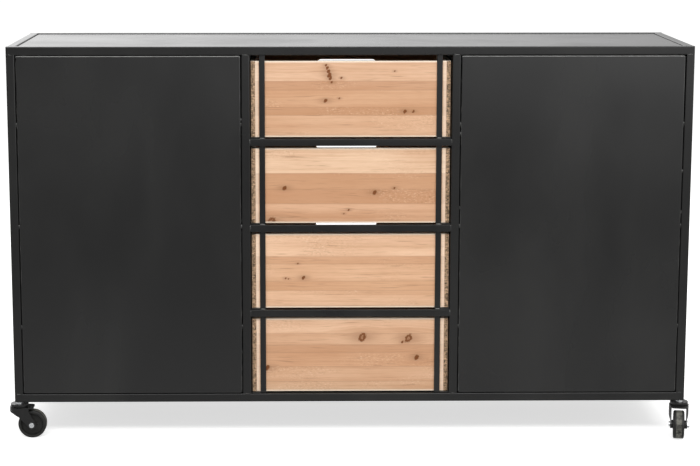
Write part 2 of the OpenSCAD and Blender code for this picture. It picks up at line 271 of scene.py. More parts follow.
def rod(name, centre, axis, radius, size, sides=32):
    """A cylinder along one axis, which later steps shape."""
    turn = {0: (0, QUARTER, 0), 1: (QUARTER, 0, 0), 2: (0, 0, 0)}[axis]
    bpy.ops.object.select_all(action="DESELECT")
    bpy.ops.mesh.primitive_cylinder_add(
        vertices=sides, radius=radius, depth=size, location=centre, rotation=turn)
    piece = bpy.context.object
    piece.name = name
    return settle(piece)


def modify(piece, kind, **settings):
    """Adds a modifier and applies it."""
    activate(piece)
    modifier = piece.modifiers.new(kind.title(), kind)
    for key, value in settings.items():
        setattr(modifier, key, value)
    bpy.ops.object.modifier_apply(modifier=modifier.name)


def bevel_edges(piece, width, segments=2, angle=40):
    """Rounds every edge that is sharper than the angle."""
    limit = math.radians(angle)
    modify(piece, "BEVEL", width=width, segments=segments, limit_method="ANGLE", angle_limit=limit)


def smooth(piece, angle=35):
    """Smooth shading on rounded edges, with the flats kept flat."""
    activate(piece)
    bpy.ops.object.shade_smooth_by_angle(angle=math.radians(angle))
    modify(piece, "WEIGHTED_NORMAL", keep_sharp=True, weight=100)


def cut_across(normal, places, start=(0, 0, 0)):
    """In edit mode, cuts the whole mesh across a direction, at each distance from the start."""
    for place in places:
        bpy.ops.mesh.select_all(action="SELECT")
        bpy.ops.mesh.bisect(plane_co=Vector(start) + Vector(normal) * place, plane_no=normal)


def steps(start, end, count):
    """Evenly spaced places between two ends, without the ends."""
    return [start + (end - start) * (k + 1) / (count + 1) for k in range(count)]


def mark_faces(piece, test):
    """Gives the second material to the faces that pass the test, and the first to the others."""
    for face in piece.data.polygons:
        face.material_index = int(test(face))


def mark_bends(piece, limit=0.985):
    """Marks every face of a bend or a rounded edge."""
    mark_faces(piece, lambda face: max(abs(part) for part in face.normal) < limit)
    return piece


def turned(axis, angle):
    return Matrix.Rotation(angle, 4, axis)


def moved(x, y, z):
    return Matrix.Translation((x, y, z))


def added(name, data):
    """A new object of the scene with that data."""
    thing = bpy.data.objects.new(name, data)
    bpy.context.scene.collection.objects.link(thing)
    return thing


def copy_of(piece, matrix):
    """A copy with a mesh of its own, moved by a matrix."""
    twin = added("copy", piece.data.copy())
    twin.data.transform(matrix)
    return twin


def joined(name, pieces):
    """Several pieces as one, under a new name."""
    activate(*pieces)
    if len(pieces) > 1:
        bpy.ops.object.join()
    whole = bpy.context.object
    whole.name = name
    whole.data.name = name
    return whole


def softened(node, name, width=0.0, segments=2, angle=40):
    """A copy of a CAD node with its triangles merged into faces and its sharp edges rounded."""
    piece = added(name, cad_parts[node].data.copy())
    with editing(piece):
        bpy.ops.mesh.select_all(action="SELECT")
        bpy.ops.mesh.remove_doubles(threshold=1e-5)
        bpy.ops.mesh.dissolve_limited(angle_limit=math.radians(0.5))
    if width:
        bevel_edges(piece, width, segments, angle)
    smooth(piece)
    return piece


def finish(piece, body, nodes=(), materials=()):
    """Gives a piece its materials and its body, and hides the CAD nodes that it stands for."""
    marks = [min(face.material_index, len(materials) - 1) for face in piece.data.polygons]
    piece.data.materials.clear()
    for material in materials:
        piece.data.materials.append(material)
    piece.data.polygons.foreach_set("material_index", marks)
    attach(piece, body)
    if nodes:
        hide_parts(*nodes)


def dressed(node, prefix, body, slot, material, *softening, **angle):
    """Softens a CAD node, and finishes it in one material under the node's name with a prefix."""
    finish(softened(node, prefix + node, *softening, **angle), body, [node], [material])


# ---- Materials ----


def darker(colour, share_left):
    """The colour with only a share of its light left."""
    return [part * share_left for part in colour]


class Graph:
    """Adds and links the nodes of one node tree."""

    def __init__(self, tree):
        self.tree = tree

    def add(self, kind, inputs=None, **settings):
        node = self.tree.nodes.new(kind)
        for key, value in settings.items():
            setattr(node, key, value)
        for key, value in (inputs or {}).items():
            self.feed(node.inputs[key], value)
        return node

    def feed(self, socket, value):
        if isinstance(value, bpy.types.NodeSocket):
            self.tree.links.new(value, socket)
        else:
            socket.default_value = value

    def math(self, operation, first, second=0.0, third=0.0):
        node = self.add("ShaderNodeMath", {0: first, 1: second, 2: third}, operation=operation)
        return node.outputs["Value"]

    def times(self, first, second):
        return self.math("MULTIPLY", first, second)

    def plus(self, first, second):
        return self.math("ADD", first, second)

    def scaled(self, value, factor, start):
        """The start with a factor times the value added."""
        return self.math("MULTIPLY_ADD", value, factor, start)

    def vector(self, operation, *values):
        """The outputs of a vector operation: its vector first, its number second."""
        return self.add("ShaderNodeVectorMath", dict(enumerate(values)), operation=operation).outputs

    def split(self, vector):
        """The X, Y and Z of a vector."""
        return self.add("ShaderNodeSeparateXYZ", {0: vector}).outputs


class Recipe(Graph):
    """The nodes of one material, with the piece's own coordinates at hand."""

    def __init__(self, name):
        self.material = bpy.data.materials.new(name)
        self.material.use_nodes = True
        super().__init__(self.material.node_tree)
        self.shader = self.tree.nodes["Principled BSDF"]
        self.place = self.add("ShaderNodeTexCoord").outputs["Object"]

    def stretch(self, scale, vector=None):
        """Coordinates stretched by a size for each axis."""
        source = self.place if vector is None else vector
        return self.add("ShaderNodeMapping", {"Vector": source, "Scale": scale}).outputs["Vector"]

    def noise(self, scale, detail=3, rough=0.5, vector=None, bend=0.0):
        source = self.place if vector is None else vector
        inputs = {"Vector": source, "Scale": scale, "Detail": detail, "Roughness": rough, "Distortion": bend}
        return self.add("ShaderNodeTexNoise", inputs).outputs["Fac"]

    def grain(self, scales, detail, rough, vector=None, bend=0.0):
        """Noise with a scale of its own along each axis."""
        return self.noise(1, detail, rough, self.stretch(scales, vector), bend)

    def ramp(self, factor, stops, interpolation="LINEAR"):
        """A colour ramp through (place, colour) stops."""
        node = self.add("ShaderNodeValToRGB", {"Fac": factor})
        node.color_ramp.interpolation = interpolation
        elements = node.color_ramp.elements
        while len(elements) < len(stops):
            elements.new(1)
        for element, (place, value) in zip(elements, stops):
            element.position = place
            element.color = opaque(value) if hasattr(value, "__len__") else (value, value, value, 1)
        return node.outputs["Color"]

    def mix(self, factor, first, second):
        node = self.add("ShaderNodeMix", data_type="RGBA")
        for index, value in ((0, factor), (6, first), (7, second)):
            if index and not isinstance(value, bpy.types.NodeSocket):
                value = opaque(value)
            self.feed(node.inputs[index], value)
        return node.outputs[2]

    def layer(self, base, factor, stops, coat):
        """The base with a coat laid over it, as strong as the ramp through the stops says."""
        return self.mix(self.ramp(factor, stops), base, coat)

    def bump(self, height, depth, strength):
        inputs = {"Height": height, "Distance": depth, "Strength": strength}
        return self.add("ShaderNodeBump", inputs).outputs["Normal"]

    def finish(self, **inputs):
        """Feeds the shader's own sockets and returns the material."""
        for key, value in inputs.items():
            self.feed(self.shader.inputs[key.replace("_", " ")], value)
        return self.material


def satin_paint(name, base, worn, gloss, edge=0.0, shine=0.5):
    """Sprayed satin paint: soft upright clouds, a faint skin and a few specks of dust. The pale clouds stand
    partly for the paint's mottle and partly for painted reflection. With an edge share it is the paint on a
    bend, with a painted highlight that is paler where the bend looks up towards the lamps."""
    paint = Recipe(name)
    # The pale clouds: partly the paint's mottle, partly painted reflection.
    clouds = paint.noise(2.6, 4, 0.5, vector=paint.stretch((1.5, 1.5, 0.7)), bend=0.3)
    cloudy = paint.ramp(clouds, [(0.40, 0.0), (0.70, 1.0)])
    specks = paint.ramp(paint.noise(300, 2, 0.6), [(0.76, 0.0), (0.82, 1.0)])
    marks = paint.math("MAXIMUM", paint.times(cloudy, 0.5), paint.times(specks, 0.4))
    shade = paint.mix(marks, base, worn)
    # Painted highlight: the bend's paint turns paler where its faces look up towards the lamps, broken by
    # noise.
    if edge:
        upward = paint.split(paint.add("ShaderNodeTexCoord").outputs["Normal"])["Z"]
        highlight_mask = paint.plus(upward, paint.times(paint.noise(46, 4, 0.6), 0.9))
        stops = [(0.45, 0.04 * edge), (0.72, 0.40 * edge), (0.95, edge)]
        shade = paint.layer(shade, highlight_mask, stops, look("steel").rubbed)
    rough = paint.scaled(cloudy, 0.08, gloss)
    rough = paint.scaled(paint.noise(38, 3, 0.6), 0.03, rough)
    skin = paint.bump(paint.noise(240, 2, 0.5), 0.00001, 0.4)
    return paint.finish(Base_Color=shade, Roughness=rough, Specular_IOR_Level=shine, Normal=skin)


def zinc_plate(name, base):
    """Bright zinc plating with a faint crystalline bloom."""
    zinc = Recipe(name)
    cells = zinc.add("ShaderNodeTexVoronoi", {"Vector": zinc.place, "Scale": 420}).outputs["Color"]
    cells = zinc.add("ShaderNodeSeparateColor", {"Color": cells}).outputs["Red"]
    bloom = zinc.scaled(cells, 0.5, zinc.times(zinc.noise(160, 4), 0.5))
    shaded = zinc.ramp(bloom, [(0.2, darker(base, 0.78)), (0.8, base)])
    rough = zinc.scaled(bloom, 0.16, 0.2)
    skin = zinc.bump(zinc.noise(900, 2), 0.00002, 0.5)
    return zinc.finish(Base_Color=shaded, Metallic=0.8, Roughness=rough, Normal=skin)


def moulded(name, base, dust, amount_of_dust, rough):
    """Moulded rubber or plastic with dust in its grain."""
    rubber = Recipe(name)
    skin = rubber.noise(700, 3, 0.6)
    dusty = rubber.layer(base, rubber.noise(95, 4, 0.6), [(0.3, 0.0), (0.7, amount_of_dust)], dust)
    coarse = rubber.scaled(skin, 0.12, rough)
    relief = rubber.bump(skin, 0.00006, 0.6)
    return rubber.finish(Base_Color=dusty, Roughness=coarse, Specular_IOR_Level=0.35, Normal=relief)


KNOT_LEAN = -0.55
RING_KNOT = 0.0078


def knot_group():
    """A node group that draws one knot: its heart, its halo, and the bend of the grain round it. A ring
    share of 1 leaves the knot pale inside a dark ring."""
    group = bpy.data.node_groups.get("knot")
    if group:
        return group
    group = bpy.data.node_groups.new("knot", "ShaderNodeTree")
    for name, kind in (("Place", "Vector"), ("Centre", "Vector"), ("Radius", "Float"), ("Ring", "Float")):
        group.interface.new_socket(name, in_out="INPUT", socket_type="NodeSocket" + kind)
    for name in ("Heart", "Halo", "Bend"):
        group.interface.new_socket(name, in_out="OUTPUT", socket_type="NodeSocketFloat")
    knot = Graph(group)
    given = knot.add("NodeGroupInput").outputs
    result = knot.add("NodeGroupOutput").inputs

    def fall(value, start, end, most=1.0):
        """The most before the start, falling to nothing at the end."""
        return knot.add("ShaderNodeMapRange", dict(enumerate((value, start, end, most, 0.0)))).outputs[0]

    def distance_in_radii(vector):
        return knot.math("DIVIDE", knot.vector("LENGTH", vector)["Value"], given["Radius"])

    away = knot.vector("SUBTRACT", given["Place"], given["Centre"])[0]
    lean = {0: away, 1: (0, 0, 0), 2: (0, 1, 0), 3: KNOT_LEAN}
    leaning = knot.add("ShaderNodeVectorRotate", lean, rotation_type="AXIS_ANGLE").outputs[0]
    even = distance_in_radii(knot.vector("MULTIPLY", leaning, (1.25, 1, 0.85))[0])
    rugged = knot.add("ShaderNodeTexNoise", {"Vector": given["Place"], "Scale": 260, "Detail": 3}).outputs[0]
    distance = knot.scaled(rugged, 1.3, knot.math("SUBTRACT", even, 0.65))
    pale = knot.times(fall(distance, 0.25, 0.50, 0.75), given["Ring"])
    pith = fall(distance, 0.05, 0.30, 0.7)
    heart = knot.math("MAXIMUM", knot.math("SUBTRACT", fall(distance, 0.80, 1.15), pale), pith)
    reach = distance_in_radii(knot.vector("MULTIPLY", away, (0.45, 1, 1))[0])
    square = knot.times(reach, reach)
    fade = knot.math("EXPONENT", knot.times(square, -0.12))
    rise = knot.times(knot.split(away)["Z"], fade)
    knot.feed(result["Heart"], heart)
    knot.feed(result["Halo"], knot.math("EXPONENT", knot.times(square, -0.42)))
    knot.feed(result["Bend"], knot.times(rise, -0.7))
    return group


def knotted(wood, run, rise, bottom, knots):
    """The height on the board as its knots bend it, and the strength of their hearts and halos."""
    flat_place = wood.add("ShaderNodeCombineXYZ", {0: run, 2: rise}).outputs[0]
    bent = wood.scaled(wood.noise(9, 2, 0.5, vector=flat_place), 0.005, rise)
    heart = halo = 0.0
    for across, up, radius in knots:
        inputs = {"Place": flat_place, "Centre": (across, 0, bottom + up), "Radius": radius}
        inputs["Ring"] = float(radius > RING_KNOT)
        knot = wood.add("ShaderNodeGroup", inputs, node_tree=knot_group()).outputs
        bent = wood.plus(bent, knot["Bend"])
        heart = wood.math("MAXIMUM", heart, knot["Heart"])
        halo = wood.math("MAXIMUM", halo, knot["Halo"])
    return bent, heart, halo


def glued(wood, share_up, laths):
    """The tone of the laths, a shift of the grain for each, and the thin dark glue lines between them."""
    waver = wood.noise(2.5, 2, 0.5, vector=wood.stretch((1, 1, 0.1)))
    wavy = wood.scaled(waver, 0.012, share_up)
    edges = [0.0] + [edge for edge, _ in laths[:-1]]
    soft = [(place, t) for e, (top, t) in zip(edges, laths) for place in (e + 0.006, top - 0.010)]
    shift = wood.ramp(wavy, [(e, (0.37 * (k + 1)) % 1) for k, e in enumerate(edges)], "CONSTANT")
    glue = [stop for e in edges for stop in ((e - 0.014, 0.0), (e, 0.30), (e + 0.004, 0.0))]
    return wood.ramp(wavy, soft), shift, wood.ramp(wavy, glue)


def grown(wood, base, coords, late):
    """The tone under its growth lines, pores and torn patches, and the lines and pores by themselves."""
    blotch = wood.noise(7, 3, 0.6, vector=wood.stretch((0.6, 1, 2.2), coords))
    bands = wood.grain((0.9, 5, 44), 3, 0.55, coords, bend=0.3)
    lines = wood.grain((2.2, 9, 210), 4, 0.62, coords, bend=0.15)
    dashes = wood.grain((16, 20, 420), 2, 0.5, coords)
    pores = wood.grain((30, 60, 1500), 2, 0.6, coords)
    for figure, stops, light_left in (
            (blotch, [(0.3, 0.0), (0.7, 0.42)], 1),
            (bands, [(0.40, 0.0), (0.56, 0.12), (0.72, 0.52)], 1),
            (lines, [(0.48, 0.0), (0.70, 0.34)], 1),
            (dashes, [(0.62, 0.0), (0.76, 0.52)], 0.6),
            (pores, [(0.52, 0.0), (0.75, 0.30)], 0.72)):
        base = wood.layer(base, figure, stops, darker(late, light_left))
    # rough patches, where torn grain leaves dark and light flecks
    torn = wood.noise(8, 2, 0.5, vector=wood.stretch((0.7, 1, 1.6), coords))
    patches = wood.ramp(torn, [(0.52, 0.0), (0.64, 1.0)])
    flecks = wood.grain((170, 300, 430), 3, 0.7, coords)
    for stops, coat in (([(0.57, 0.0), (0.68, 0.5)], darker(late, 0.6)),
                        ([(0.34, 0.34), (0.44, 0.0)], tone(250, 226, 196))):
        base = wood.mix(wood.times(wood.ramp(flecks, stops), patches), base, coat)
    return base, lines, pores


def painted_edge_highlights(wood, base, share_up, share_out):
    """The tone with painted highlights: paler along the eased top and bottom edges, where light catches
    them, and painted light towards the board's ends.
    """
    # Painted highlight along the bottom and top edges, and painted light towards the ends.
    stops = [(0.0, 0.8), (0.014, 0.6), (0.026, 0.0), (0.976, 0.0), (0.985, 0.6), (1.0, 0.85)]
    ends = wood.ramp(share_out, [(0.955, 0.0), (0.975, 0.45)])
    return wood.mix(wood.math("MAXIMUM", wood.ramp(share_up, stops), ends), base, tone(255, 240, 220))


def fir(name, bottom, height, half, laths, knots=(), grain_axis=0):
    """Glued fir laths. half is half the board's length, laths are (top edge as a share of the height, tone)
    from the bottom up, and knots are (distance from the middle, height over the board's bottom, radius)."""
    late = look("wood").latewood
    wood = Recipe(name)
    parts = wood.split(wood.place)
    run, through, rise = parts[grain_axis], parts[1 - grain_axis], parts[2]
    share_up = wood.math("DIVIDE", wood.math("SUBTRACT", rise, bottom), height)
    share_out = wood.math("DIVIDE", wood.math("ABSOLUTE", run), half)
    bent, heart, halo = knotted(wood, run, rise, bottom, knots)
    base, shift, glue = glued(wood, share_up, laths)
    shifted = wood.plus(run, wood.times(shift, 5))
    coords = wood.add("ShaderNodeCombineXYZ", {0: shifted, 1: through, 2: bent}).outputs[0]
    base, lines, pores = grown(wood, base, coords, late)
    base = wood.mix(glue, base, darker(late, 0.55))
    if knots:
        base = wood.mix(wood.times(halo, 0.5), base, darker(late, 0.55))
        base = wood.mix(wood.times(heart, 0.94), base, look("wood").knot)
    # Painted highlights along the edges, and painted light towards the ends.
    base = painted_edge_highlights(wood, base, share_up, share_out)
    relief = wood.plus(wood.times(lines, 0.6), wood.times(pores, 0.4))
    rough = wood.scaled(lines, 0.16, 0.5)
    skin = wood.bump(relief, 0.00018, 0.5)
    return wood.finish(Base_Color=base, Roughness=rough, Specular_IOR_Level=0.3, Normal=skin)


def sawn_end(name, base):
    """Rough end grain: growth rings, torn fibres, dark pits and the marks of the saw."""
    end = Recipe(name)
    inputs = {"Vector": end.place, "Scale": 42, "Distortion": 9, "Detail": 3, "Detail Scale": 1.6}
    rings = end.add("ShaderNodeTexWave", inputs, wave_type="RINGS").outputs["Fac"]
    fibres = end.noise(300, 4, 0.8, vector=end.stretch((0.4, 1, 1)))
    light = [min(part * 2.6, 1) for part in base]
    body = end.layer(darker(base, 0.45), fibres, [(0.38, 0.0), (0.62, 1.0)], light)
    body = end.mix(end.times(rings, 0.35), body, darker(base, 0.6))
    body = end.layer(body, end.noise(210, 4, 0.8), [(0.50, 0.0), (0.58, 0.9)], darker(base, 0.14))
    saw = end.grain((60, 60, 900), 3, 0.6)
    skin = end.bump(end.plus(fibres, end.times(saw, 0.6)), 0.0005, 0.9)
    return end.finish(Base_Color=body, Roughness=0.85, Specular_IOR_Level=0.2, Normal=skin)


def plywood(name, base):
    """Rotary-cut face veneer: broad wandering figure and fine pores."""
    ply = Recipe(name)
    figure = ply.math("SINE", ply.times(ply.grain((10, 2.2, 10), 3, 0.5, bend=1.4), 46))
    fine = ply.grain((620, 22, 620), 3, 0.6)
    shaded = ply.layer(base, figure, [(0.0, 0.0), (1.0, 0.30)], darker(base, 0.70))
    shaded = ply.layer(shaded, fine, [(0.5, 0.0), (0.8, 0.45)], darker(base, 0.55))
    rough = ply.scaled(fine, 0.15, 0.52)
    return ply.finish(Base_Color=shaded, Roughness=rough, Normal=ply.bump(fine, 0.0001, 0.5))


def stock(name, make, *values):
    """The material of that name, made at its first use."""
    return bpy.data.materials.get(name) or make(name, *values)


def black_paint():
    steel = look("steel")
    return stock("satin_black_paint", satin_paint, steel.paint, steel.worn, steel.gloss)


def tube_paint():
    """Paint of the tubes and bars, which is flatter than the panels'."""
    steel = look("steel")
    return stock("tube_black_paint", satin_paint, steel.paint, steel.worn, steel.gloss, 0.0, 0.38)


# The paint of bends, edges and beads, with a painted highlight where they look up.
def edge_highlight_paint():
    steel = look("steel")
    return stock("rubbed_black_paint", satin_paint, steel.paint, steel.worn, steel.gloss, 1.0)


def fork_paint():
    steel = look("steel")
    return stock("caster_fork_paint", satin_paint, steel.fork, steel.worn, steel.gloss + 0.06)


def bright_zinc():
    return stock("bright_zinc", zinc_plate, look("steel").zinc)


# ---- Stage ----


CAMERA_PLACE = (-0.106, -4.076, 1.172)
CAMERA_TILT, CAMERA_TURN = math.radians(9.28), math.radians(0.67)


def place_camera():
    data = bpy.data.cameras.new("camera")
    data.lens = look("stage").lens
    data.sensor_width = 36
    data.shift_x = 0.04
    data.shift_y = -0.06
    data.clip_end = 60
    camera = added("camera", data)
    camera.location = CAMERA_PLACE
    camera.rotation_euler = (QUARTER - CAMERA_TILT, 0, -CAMERA_TURN)
    bpy.context.scene.camera = camera


def area_lamp(name, place, size, power):
    """A rectangular lamp that is aimed at the middle of the cabinet."""
    data = bpy.data.lights.new(name, "AREA")
    data.shape = "RECTANGLE"
    data.size, data.size_y = size
    data.energy = power
    lamp = added(name, data)
    lamp.location = place
    aim = Vector((0, 0, 0.4)) - Vector(place)
    lamp.rotation_euler = aim.to_track_quat("-Z", "Y").to_euler()


FLOOR_LIFT = 0.64
FLOOR_REACH = 10.0
RIGHT_LIFT = 3.2


def floor_finish():
    """Pale floor. It is white to the camera apart from the object's shadow, and what gloss sees of it is
    graded outwards from the object, the more so on the right."""
    pale = Recipe("pale_floor")
    ray = pale.add("ShaderNodeLightPath").outputs
    matt = pale.add("ShaderNodeBsdfDiffuse", {"Color": opaque(look("stage").floor)}).outputs[0]
    strength = pale.times(ray["Is Camera Ray"], FLOOR_LIFT)
    lift = pale.add("ShaderNodeEmission", {"Strength": strength}).outputs[0]
    lifted = pale.add("ShaderNodeAddShader", {0: matt, 1: lift}).outputs[0]
    distance = pale.vector("LENGTH", pale.place)["Value"]
    far = pale.math("DIVIDE", distance, FLOOR_REACH)
    stops = [(0.0, 0.6), (0.06, 0.56), (0.25, 0.28), (0.40, 0.30), (0.54, 0.42), (0.78, 0.80)]
    aside = pale.math("DIVIDE", pale.split(pale.place)["X"], distance)
    lean = pale.times(aside, pale.ramp(far, [(0.56, 0.0), (0.86, 1.0)]))
    strength = pale.scaled(lean, RIGHT_LIFT, 1.0)
    seen = pale.add("ShaderNodeEmission", {"Color": pale.ramp(far, stops), "Strength": strength}).outputs[0]
    whole = pale.add("ShaderNodeMixShader", {0: ray["Is Glossy Ray"], 1: lifted, 2: seen}).outputs[0]
    pale.tree.nodes.remove(pale.shader)
    pale.feed(pale.tree.nodes["Material Output"].inputs["Surface"], whole)
    return pale.material


RIGHT_GLOSS, LEFT_GLOSS = 1.93, 0.10


def light_world():
    """White to the camera, a soft graded studio to gloss, and an even ambient light to everything else."""
    world = bpy.data.worlds.new("studio")
    world.use_nodes = True
    bpy.context.scene.world = world
    sky = Graph(world.node_tree)
    ray = sky.add("ShaderNodeLightPath").outputs
    way = sky.split(sky.add("ShaderNodeTexCoord").outputs["Generated"])
    grade = {"Value": sky.times(way["X"], way["Y"]), "From Min": -0.45, "From Max": 0.45}
    grade.update({"To Min": RIGHT_GLOSS, "To Max": LEFT_GLOSS})
    across = sky.add("ShaderNodeMapRange", grade).outputs[0]
    unseen = {0: ray["Is Glossy Ray"], 2: look("stage").ambient, 3: across}
    whole = {0: ray["Is Camera Ray"], 2: sky.add("ShaderNodeMix", unseen).outputs[0], 3: 1.0}
    back = world.node_tree.nodes["Background"].inputs
    sky.feed(back["Color"], (1, 1, 1, 1))
    sky.feed(back["Strength"], sky.add("ShaderNodeMix", whole).outputs[0])


class SIDEBOARD_OT_stage(bpy.types.Operator):
    """Lay the floor, hang the lamps and set the camera"""

    bl_idname = "sideboard.stage"
    bl_label = "Stage"

    def execute(self, context):
        bpy.ops.object.select_all(action="DESELECT")
        bpy.ops.mesh.primitive_plane_add(size=40)
        floor = bpy.context.object
        floor.name = "floor"
        floor.data.materials.append(floor_finish())
        stage = look("stage")
        area_lamp("key_lamp", (0, -3.2, 3.4), (6.0, 1.1), stage.key)
        area_lamp("fill_lamp", (0.6, 2.4, 3.0), (4.5, 1.2), stage.fill)
        light_world()
        place_camera()
        context.scene.view_settings.view_transform = "Standard"
        return {"FINISHED"}


# ---- Welded frame ----


class SIDEBOARD_OT_tubes(bpy.types.Operator):
    """Paint the welded square tubes"""

    bl_idname = "sideboard.tubes"
    bl_label = "Frame tubes"

    def execute(self, context):
        for node in ("back_rails", "back_uprights", "front_rails", "front_uprights", "depth_rails"):
            dressed(node, "painted_", "cabinet", "black_paint", tube_paint())
        return {"FINISHED"}


class SIDEBOARD_OT_bars(bpy.types.Operator):
    """Ease and paint the cross bars, stop bars, drawer runners and shelf cleats"""

    bl_idname = "sideboard.bars"
    bl_label = "Bars, runners and cleats"

    def execute(self, context):
        eased = look("steel").eased
        roundings = {"crossbars": 1.3, "stop_bars": 1, "drawer_runners": 0.6, "shelf_cleats": 0.6}
        for node, share_of in roundings.items():
            dressed(node, "painted_", "cabinet", "black_paint", tube_paint(), eased * share_of)
        return {"FINISHED"}


# ---- Sheet metal ----


BROAD_WAVE, SMALL_WAVE = (4.5, 2.6), (13, 7)  # how often a sheet swells in a metre, across and along
SMALL_SHARE, SMALL_SEED = 0.22, 9


def swell(piece, size, seed, edge=0.05):
    """Moves the face of a sheet by fractions of a millimetre, as thin sheet swells and dips when it is
    welded. The face lies on z = 0, and its edges stay straight."""
    wave = look("steel").wave
    for vert in piece.data.vertices:
        across, along_sheet, rise = vert.co
        if abs(rise) > 1e-5:
            continue
        inside = min(size[0] / 2 - abs(across), size[1] / 2 - abs(along_sheet))
        fade = max(0.0, min(1.0, inside / edge))
        broad = noise.noise(Vector((across * BROAD_WAVE[0], along_sheet * BROAD_WAVE[1], seed)))
        small = noise.noise(Vector((across * SMALL_WAVE[0], along_sheet * SMALL_WAVE[1], seed + SMALL_SEED)))
        vert.co.z += wave * fade * fade * (broad + SMALL_SHARE * small)


MARGIN = 0.01  # from a sheet's edge to where the rows of its face begin


def face_rows(size, count):
    """Places of the rows that cut a sheet's face up, so that it can swell."""
    return steps(-size / 2 + MARGIN, size / 2 - MARGIN, count)


def folded_panel(name, width, height, seed, across=12, up=20):
    """A folded sheet: its face lies on z = 0 and looks down, and its edges turn up."""
    steel = look("steel")
    panel = block(name, (-width / 2, -height / 2, 0), (width / 2, height / 2, FOLD))
    with editing(panel):
        choose(panel, "faces", lambda face: face.normal.z > 0.5)
        bpy.ops.mesh.delete(type="ONLY_FACE")
        round_edges(panel, steel.corner, 4, lambda edge: along(edge, 2))
        round_edges(panel, steel.bend, 4, lambda edge: max(v.co.z for v in edge.verts) < 1e-6)
        cut_across(ALONG_X, face_rows(width, across))
        cut_across(ALONG_Y, face_rows(height, up))
    swell(panel, (width, height), seed)
    modify(panel, "SOLIDIFY", thickness=steel.sheet, offset=-1, use_even_offset=True)
    smooth(panel, 50)
    return panel


def folded_pieces(name, body, sheets):
    """Several folded sheets as the painted piece of one node, with a painted highlight on the bends."""
    whole = mark_bends(joined("painted_" + name, sheets))
    finish(whole, body, [name], [black_paint(), edge_highlight_paint()])


def folded_pair(name, width, height, seed, place, **rows):
    """A left and a right sheet of the cabinet. place gives the matrix that sets each of them."""
    sheets = [settle(folded_panel("sheet", width, height, seed + side, **rows), place(side))
              for side in (-1, 1)]
    folded_pieces(name, "cabinet", sheets)


CUPBOARD_MIDDLE = (CUPBOARD[0] + CUPBOARD[1]) / 2
PANEL_WIDTH = CUPBOARD[1] - CUPBOARD[0]
PANEL_HEIGHT = PANEL_HIGH - PANEL_LOW


def facing(side):
    """Half a turn on the left, none on the right."""
    return turned("Z", 0 if side > 0 else HALF_TURN)


def back_place(side):
    return moved(side * CUPBOARD_MIDDLE, -HALF_DEPTH, MIDDLE) @ turned("X", -QUARTER)


def end_place(side):
    return facing(side) @ moved(HALF_WIDTH, 0, MIDDLE) @ turned("Y", -QUARTER) @ turned("Z", QUARTER)


def partition_place(side):
    return facing(side) @ moved(BAY, 0, MIDDLE) @ turned("Y", QUARTER)


def shelf_place(side):
    return moved(side * CUPBOARD_MIDDLE, 0, high("shelves").z) @ turned("X", HALF_TURN)


class SIDEBOARD_OT_panels(bpy.types.Operator):
    """Fold, swell and paint the back panels, the end panels and the partitions"""

    bl_idname = "sideboard.panels"
    bl_label = "Panels and partitions"

    def execute(self, context):
        wall = extent("partitions")
        folded_pair("back_panels", PANEL_WIDTH, PANEL_HEIGHT, 3.1, back_place)
        folded_pair("end_panels", extent("end_panels").y, PANEL_HEIGHT, 7.7, end_place, across=8)
        folded_pair("partitions", wall.z, wall.y, 12.3, partition_place, across=14, up=8)
        return {"FINISHED"}


def flat_plate(node, seed):
    """A rolled plate with eased edges and a faint swell."""
    lowest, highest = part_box(node)
    size = highest - lowest
    plate = block("painted_" + node, -size / 2, size / 2)
    plate.data.transform(moved(0, 0, -size.z / 2))
    with editing(plate):
        eased = look("steel").eased * 0.8
        round_edges(plate, eased, 2, lambda edge: max(v.co.z for v in edge.verts) > -1e-6)
        cut_across(ALONG_X, face_rows(size.x, 30))
        cut_across(ALONG_Y, face_rows(size.y, 8))
    swell(plate, size, seed, edge=0.08)
    settle(plate, moved(0, (lowest.y + highest.y) / 2, highest.z))
    smooth(plate, 50)
    # The rounded edges take the paint with the painted highlight.
    finish(mark_bends(plate), "cabinet", [node], [black_paint(), edge_highlight_paint()])


class SIDEBOARD_OT_plates(bpy.types.Operator):
    """Lay the top plate and the floor plate"""

    bl_idname = "sideboard.plates"
    bl_label = "Top and floor plates"

    def execute(self, context):
        flat_plate("top_plate", 21.4)
        flat_plate("floor_plate", 25.2)
        return {"FINISHED"}


class SIDEBOARD_OT_shelves(bpy.types.Operator):
    """Fold and paint the shelves"""

    bl_idname = "sideboard.shelves"
    bl_label = "Shelves"

    def execute(self, context):
        folded_pair("shelves", PANEL_WIDTH, extent("shelves").y, 17.9, shelf_place, across=12, up=8)
        return {"FINISHED"}


# ---- Doors ----


class SIDEBOARD_OT_doors(bpy.types.Operator):
    """Fold, swell and paint the two doors"""

    bl_idname = "sideboard.doors"
    bl_label = "Doors"

    def execute(self, context):
        for side, name in DOORS:
            door = folded_panel("door", PANEL_WIDTH, PANEL_HEIGHT, 31.5 + side)
            settle(door, moved(side * CUPBOARD_MIDDLE, HALF_DEPTH, MIDDLE) @ turned("X", QUARTER))
            folded_pieces(name, name, [door])
        return {"FINISHED"}


# A pole plate, the magnet and the other pole plate of a catch: (nearest and furthest distance from the
# partition, how far it stands past the recess)
MAGNET_LAYERS = ((0.0045, 0.0058, 0.0002), (0.0060, 0.0100, -0.0004), (0.0102, 0.0115, 0.0002))
MAGNET_DEPTH, MAGNET_SUNK, MAGNET_HALF = 0.0031, 0.0004, 0.011


def catch_magnets():
    """A magnet between two pole plates in the recess of each door catch."""
    lowest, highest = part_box("door_catches")
    middle_z, front = (lowest.z + highest.z) / 2, highest.y
    magnets = []
    for side in (-1, 1):
        for start, end, rise in MAGNET_LAYERS:
            near, far = (side * (BAY + TUBE + reach) for reach in (start, end))
            corner = (near, front - MAGNET_DEPTH, middle_z - MAGNET_HALF)
            plate = block("magnet", corner, (far, front - MAGNET_SUNK + rise, middle_z + MAGNET_HALF))
            bevel_edges(plate, 0.0002)
            magnets.append(plate)
    return joined("catch_magnets", magnets)


